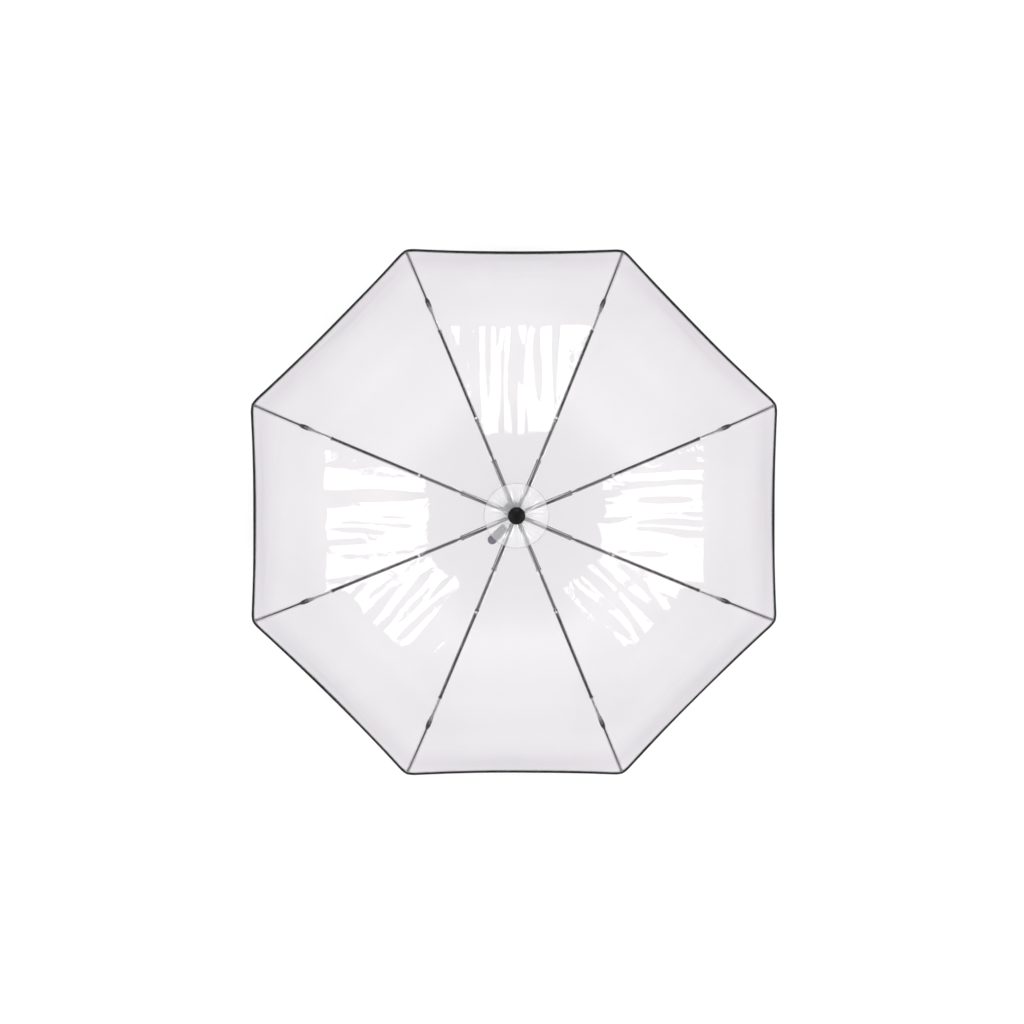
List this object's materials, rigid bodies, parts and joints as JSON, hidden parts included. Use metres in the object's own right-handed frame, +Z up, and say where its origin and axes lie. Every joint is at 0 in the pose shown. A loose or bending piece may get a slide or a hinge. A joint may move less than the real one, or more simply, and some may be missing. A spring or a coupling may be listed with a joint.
{
  "type": "folding umbrella",
  "caption": "Open clear folding umbrella with a black hem, jointed folding ribs on a telescopic shaft, a sliding runner and a plain black grip.",
  "frame": {"origin": "middle of the hand grip, on the shaft's axis", "axes": "+Z up along the shaft towards the cap; +X and +Y point at the middles of two canopy panels"},
  "size_m": [0.8972, 0.8973, 0.552],
  "materials": {
    "black_plastic": "satin moulded",
    "painted_tube": "black paint, semi-gloss",
    "painted_steel": "black paint, semi-gloss",
    "grey_steel": "zinc-plated",
    "silver_arm": "satin",
    "black_rod": "glass-fibre rod and moulded connector",
    "clear_vinyl": "clear, glossy, slightly milky",
    "black_tape": "woven bias tape",
    "grey_label": "woven, blank"
  },
  "bodies": {
    "handle": {"handle": "black_plastic", "lower_tube": "painted_tube"},
    "middle_tube": {"middle_tube": "painted_tube"},
    "top_tube": {"top_tube": "painted_tube", "crown": "black_plastic", "cap": "black_plastic", "reinforcing_disc": "clear_vinyl", "care_label": "grey_label", "hem_binding": "black_tape", "canopy_panel_1": "clear_vinyl", "canopy_panel_2": "clear_vinyl", "canopy_panel_3": "clear_vinyl", "canopy_panel_4": "clear_vinyl", "canopy_panel_5": "clear_vinyl", "canopy_panel_6": "clear_vinyl", "canopy_panel_7": "clear_vinyl", "canopy_panel_8": "clear_vinyl"},
    "runner": {"runner": "black_plastic"},
    "top_rib_1": {"top_rib_1": "grey_steel"},
    "stretcher_1": {"stretcher_1": "painted_steel"},
    "middle_rib_1": {"middle_rib_1": "painted_steel"},
    "outer_rib_1": {"outer_arm_1": "silver_arm", "tip_rod_1": "black_rod"},
    "top_rib_2": {"top_rib_2": "grey_steel"},
    "stretcher_2": {"stretcher_2": "painted_steel"},
    "middle_rib_2": {"middle_rib_2": "painted_steel"},
    "outer_rib_2": {"outer_arm_2": "silver_arm", "tip_rod_2": "black_rod"},
    "top_rib_3": {"top_rib_3": "grey_steel"},
    "stretcher_3": {"stretcher_3": "painted_steel"},
    "middle_rib_3": {"middle_rib_3": "painted_steel"},
    "outer_rib_3": {"outer_arm_3": "silver_arm", "tip_rod_3": "black_rod"},
    "top_rib_4": {"top_rib_4": "grey_steel"},
    "stretcher_4": {"stretcher_4": "painted_steel"},
    "middle_rib_4": {"middle_rib_4": "painted_steel"},
    "outer_rib_4": {"outer_arm_4": "silver_arm", "tip_rod_4": "black_rod"},
    "top_rib_5": {"top_rib_5": "grey_steel"},
    "stretcher_5": {"stretcher_5": "painted_steel"},
    "middle_rib_5": {"middle_rib_5": "painted_steel"},
    "outer_rib_5": {"outer_arm_5": "silver_arm", "tip_rod_5": "black_rod"},
    "top_rib_6": {"top_rib_6": "grey_steel"},
    "stretcher_6": {"stretcher_6": "painted_steel"},
    "middle_rib_6": {"middle_rib_6": "painted_steel"},
    "outer_rib_6": {"outer_arm_6": "silver_arm", "tip_rod_6": "black_rod"},
    "top_rib_7": {"top_rib_7": "grey_steel"},
    "stretcher_7": {"stretcher_7": "painted_steel"},
    "middle_rib_7": {"middle_rib_7": "painted_steel"},
    "outer_rib_7": {"outer_arm_7": "silver_arm", "tip_rod_7": "black_rod"},
    "top_rib_8": {"top_rib_8": "grey_steel"},
    "stretcher_8": {"stretcher_8": "painted_steel"},
    "middle_rib_8": {"middle_rib_8": "painted_steel"},
    "outer_rib_8": {"outer_arm_8": "silver_arm", "tip_rod_8": "black_rod"}
  },
  "joints": [
    {"name": "middle_tube_slide", "type": "slide", "parent": "handle", "child": "middle_tube", "axis": [0, 0, -1], "range_m": [0, 0.122]},
    {"name": "top_tube_slide", "type": "slide", "parent": "middle_tube", "child": "top_tube", "axis": [0, 0, -1], "range_m": [0, 0.128]},
    {"name": "runner_slide", "type": "slide", "parent": "top_tube", "child": "runner", "axis": [0, 0, -1], "range_m": [0, 0.124], "deforming": ["reinforcing_disc", "care_label", "hem_binding", "canopy_panel_1", "canopy_panel_2", "canopy_panel_3", "canopy_panel_4", "canopy_panel_5", "canopy_panel_6", "canopy_panel_7", "canopy_panel_8"]},
    {"name": "top_rib_1_hinge", "type": "hinge", "parent": "top_tube", "child": "top_rib_1", "pos_m": [0.00878, 0.00364, 0.495], "axis": [-0.3827, 0.9239, 0], "range_deg": [0, 80]},
    {"name": "middle_rib_1_hinge", "type": "hinge", "parent": "top_rib_1", "child": "middle_rib_1", "pos_m": [0.14806, 0.06133, 0.47891], "axis": [0.3827, -0.9239, 0], "range_deg": [0, 189]},
    {"name": "outer_rib_1_hinge", "type": "hinge", "parent": "middle_rib_1", "child": "outer_rib_1", "pos_m": [0.29272, 0.12125, 0.42602], "axis": [-0.3827, 0.9239, 0], "range_deg": [0, 161]},
    {"name": "stretcher_1_hinge", "type": "hinge", "parent": "runner", "child": "stretcher_1", "pos_m": [0.00878, 0.00364, 0.427], "axis": [0.3827, -0.9239, 0], "range_deg": [0, 51.7]},
    {"name": "top_rib_2_hinge", "type": "hinge", "parent": "top_tube", "child": "top_rib_2", "pos_m": [0.00364, 0.00878, 0.495], "axis": [-0.9239, 0.3827, 0], "range_deg": [0, 80]},
    {"name": "middle_rib_2_hinge", "type": "hinge", "parent": "top_rib_2", "child": "middle_rib_2", "pos_m": [0.06133, 0.14806, 0.47891], "axis": [0.9239, -0.3827, 0], "range_deg": [0, 189]},
    {"name": "outer_rib_2_hinge", "type": "hinge", "parent": "middle_rib_2", "child": "outer_rib_2", "pos_m": [0.12125, 0.29272, 0.42602], "axis": [-0.9239, 0.3827, 0], "range_deg": [0, 161]},
    {"name": "stretcher_2_hinge", "type": "hinge", "parent": "runner", "child": "stretcher_2", "pos_m": [0.00364, 0.00878, 0.427], "axis": [0.9239, -0.3827, 0], "range_deg": [0, 51.7]},
    {"name": "top_rib_3_hinge", "type": "hinge", "parent": "top_tube", "child": "top_rib_3", "pos_m": [-0.00364, 0.00878, 0.495], "axis": [-0.9239, -0.3827, 0], "range_deg": [0, 80]},
    {"name": "middle_rib_3_hinge", "type": "hinge", "parent": "top_rib_3", "child": "middle_rib_3", "pos_m": [-0.06133, 0.14806, 0.47891], "axis": [0.9239, 0.3827, 0], "range_deg": [0, 189]},
    {"name": "outer_rib_3_hinge", "type": "hinge", "parent": "middle_rib_3", "child": "outer_rib_3", "pos_m": [-0.12125, 0.29272, 0.42602], "axis": [-0.9239, -0.3827, 0], "range_deg": [0, 161]},
    {"name": "stretcher_3_hinge", "type": "hinge", "parent": "runner", "child": "stretcher_3", "pos_m": [-0.00364, 0.00878, 0.427], "axis": [0.9239, 0.3827, 0], "range_deg": [0, 51.7]},
    {"name": "top_rib_4_hinge", "type": "hinge", "parent": "top_tube", "child": "top_rib_4", "pos_m": [-0.00878, 0.00364, 0.495], "axis": [-0.3827, -0.9239, 0], "range_deg": [0, 80]},
    {"name": "middle_rib_4_hinge", "type": "hinge", "parent": "top_rib_4", "child": "middle_rib_4", "pos_m": [-0.14806, 0.06133, 0.47891], "axis": [0.3827, 0.9239, 0], "range_deg": [0, 189]},
    {"name": "outer_rib_4_hinge", "type": "hinge", "parent": "middle_rib_4", "child": "outer_rib_4", "pos_m": [-0.29272, 0.12125, 0.42602], "axis": [-0.3827, -0.9239, 0], "range_deg": [0, 161]},
    {"name": "stretcher_4_hinge", "type": "hinge", "parent": "runner", "child": "stretcher_4", "pos_m": [-0.00878, 0.00364, 0.427], "axis": [0.3827, 0.9239, 0], "range_deg": [0, 51.7]},
    {"name": "top_rib_5_hinge", "type": "hinge", "parent": "top_tube", "child": "top_rib_5", "pos_m": [-0.00878, -0.00364, 0.495], "axis": [0.3827, -0.9239, 0], "range_deg": [0, 80]},
    {"name": "middle_rib_5_hinge", "type": "hinge", "parent": "top_rib_5", "child": "middle_rib_5", "pos_m": [-0.14806, -0.06133, 0.47891], "axis": [-0.3827, 0.9239, 0], "range_deg": [0, 189]},
    {"name": "outer_rib_5_hinge", "type": "hinge", "parent": "middle_rib_5", "child": "outer_rib_5", "pos_m": [-0.29272, -0.12125, 0.42602], "axis": [0.3827, -0.9239, 0], "range_deg": [0, 161]},
    {"name": "stretcher_5_hinge", "type": "hinge", "parent": "runner", "child": "stretcher_5", "pos_m": [-0.00878, -0.00364, 0.427], "axis": [-0.3827, 0.9239, 0], "range_deg": [0, 51.7]},
    {"name": "top_rib_6_hinge", "type": "hinge", "parent": "top_tube", "child": "top_rib_6", "pos_m": [-0.00364, -0.00878, 0.495], "axis": [0.9239, -0.3827, 0], "range_deg": [0, 80]},
    {"name": "middle_rib_6_hinge", "type": "hinge", "parent": "top_rib_6", "child": "middle_rib_6", "pos_m": [-0.06133, -0.14806, 0.47891], "axis": [-0.9239, 0.3827, 0], "range_deg": [0, 189]},
    {"name": "outer_rib_6_hinge", "type": "hinge", "parent": "middle_rib_6", "child": "outer_rib_6", "pos_m": [-0.12125, -0.29272, 0.42602], "axis": [0.9239, -0.3827, 0], "range_deg": [0, 161]},
    {"name": "stretcher_6_hinge", "type": "hinge", "parent": "runner", "child": "stretcher_6", "pos_m": [-0.00364, -0.00878, 0.427], "axis": [-0.9239, 0.3827, 0], "range_deg": [0, 51.7]},
    {"name": "top_rib_7_hinge", "type": "hinge", "parent": "top_tube", "child": "top_rib_7", "pos_m": [0.00364, -0.00878, 0.495], "axis": [0.9239, 0.3827, 0], "range_deg": [0, 80]},
    {"name": "middle_rib_7_hinge", "type": "hinge", "parent": "top_rib_7", "child": "middle_rib_7", "pos_m": [0.06133, -0.14806, 0.47891], "axis": [-0.9239, -0.3827, 0], "range_deg": [0, 189]},
    {"name": "outer_rib_7_hinge", "type": "hinge", "parent": "middle_rib_7", "child": "outer_rib_7", "pos_m": [0.12125, -0.29272, 0.42602], "axis": [0.9239, 0.3827, 0], "range_deg": [0, 161]},
    {"name": "stretcher_7_hinge", "type": "hinge", "parent": "runner", "child": "stretcher_7", "pos_m": [0.00364, -0.00878, 0.427], "axis": [-0.9239, -0.3827, 0], "range_deg": [0, 51.7]},
    {"name": "top_rib_8_hinge", "type": "hinge", "parent": "top_tube", "child": "top_rib_8", "pos_m": [0.00878, -0.00364, 0.495], "axis": [0.3827, 0.9239, 0], "range_deg": [0, 80]},
    {"name": "middle_rib_8_hinge", "type": "hinge", "parent": "top_rib_8", "child": "middle_rib_8", "pos_m": [0.14806, -0.06133, 0.47891], "axis": [-0.3827, -0.9239, 0], "range_deg": [0, 189]},
    {"name": "outer_rib_8_hinge", "type": "hinge", "parent": "middle_rib_8", "child": "outer_rib_8", "pos_m": [0.29272, -0.12125, 0.42602], "axis": [0.3827, 0.9239, 0], "range_deg": [0, 161]},
    {"name": "stretcher_8_hinge", "type": "hinge", "parent": "runner", "child": "stretcher_8", "pos_m": [0.00878, -0.00364, 0.427], "axis": [-0.3827, -0.9239, 0], "range_deg": [0, 51.7]}
  ],
  "couplings": [
    {"joint": "top_rib_1_hinge", "follows": "runner_slide", "rad_per_m": 11.26},
    {"joint": "middle_rib_1_hinge", "follows": "runner_slide", "rad_per_m": 26.602},
    {"joint": "outer_rib_1_hinge", "follows": "runner_slide", "rad_per_m": 22.661},
    {"joint": "stretcher_1_hinge", "follows": "runner_slide", "rad_per_m": 7.2769},
    {"joint": "top_rib_2_hinge", "follows": "runner_slide", "rad_per_m": 11.26},
    {"joint": "middle_rib_2_hinge", "follows": "runner_slide", "rad_per_m": 26.602},
    {"joint": "outer_rib_2_hinge", "follows": "runner_slide", "rad_per_m": 22.661},
    {"joint": "stretcher_2_hinge", "follows": "runner_slide", "rad_per_m": 7.2769},
    {"joint": "top_rib_3_hinge", "follows": "runner_slide", "rad_per_m": 11.26},
    {"joint": "middle_rib_3_hinge", "follows": "runner_slide", "rad_per_m": 26.602},
    {"joint": "outer_rib_3_hinge", "follows": "runner_slide", "rad_per_m": 22.661},
    {"joint": "stretcher_3_hinge", "follows": "runner_slide", "rad_per_m": 7.2769},
    {"joint": "top_rib_4_hinge", "follows": "runner_slide", "rad_per_m": 11.26},
    {"joint": "middle_rib_4_hinge", "follows": "runner_slide", "rad_per_m": 26.602},
    {"joint": "outer_rib_4_hinge", "follows": "runner_slide", "rad_per_m": 22.661},
    {"joint": "stretcher_4_hinge", "follows": "runner_slide", "rad_per_m": 7.2769},
    {"joint": "top_rib_5_hinge", "follows": "runner_slide", "rad_per_m": 11.26},
    {"joint": "middle_rib_5_hinge", "follows": "runner_slide", "rad_per_m": 26.602},
    {"joint": "outer_rib_5_hinge", "follows": "runner_slide", "rad_per_m": 22.661},
    {"joint": "stretcher_5_hinge", "follows": "runner_slide", "rad_per_m": 7.2769},
    {"joint": "top_rib_6_hinge", "follows": "runner_slide", "rad_per_m": 11.26},
    {"joint": "middle_rib_6_hinge", "follows": "runner_slide", "rad_per_m": 26.602},
    {"joint": "outer_rib_6_hinge", "follows": "runner_slide", "rad_per_m": 22.661},
    {"joint": "stretcher_6_hinge", "follows": "runner_slide", "rad_per_m": 7.2769},
    {"joint": "top_rib_7_hinge", "follows": "runner_slide", "rad_per_m": 11.26},
    {"joint": "middle_rib_7_hinge", "follows": "runner_slide", "rad_per_m": 26.602},
    {"joint": "outer_rib_7_hinge", "follows": "runner_slide", "rad_per_m": 22.661},
    {"joint": "stretcher_7_hinge", "follows": "runner_slide", "rad_per_m": 7.2769},
    {"joint": "top_rib_8_hinge", "follows": "runner_slide", "rad_per_m": 11.26},
    {"joint": "middle_rib_8_hinge", "follows": "runner_slide", "rad_per_m": 26.602},
    {"joint": "outer_rib_8_hinge", "follows": "runner_slide", "rad_per_m": 22.661},
    {"joint": "stretcher_8_hinge", "follows": "runner_slide", "rad_per_m": 7.2769}
  ]
}
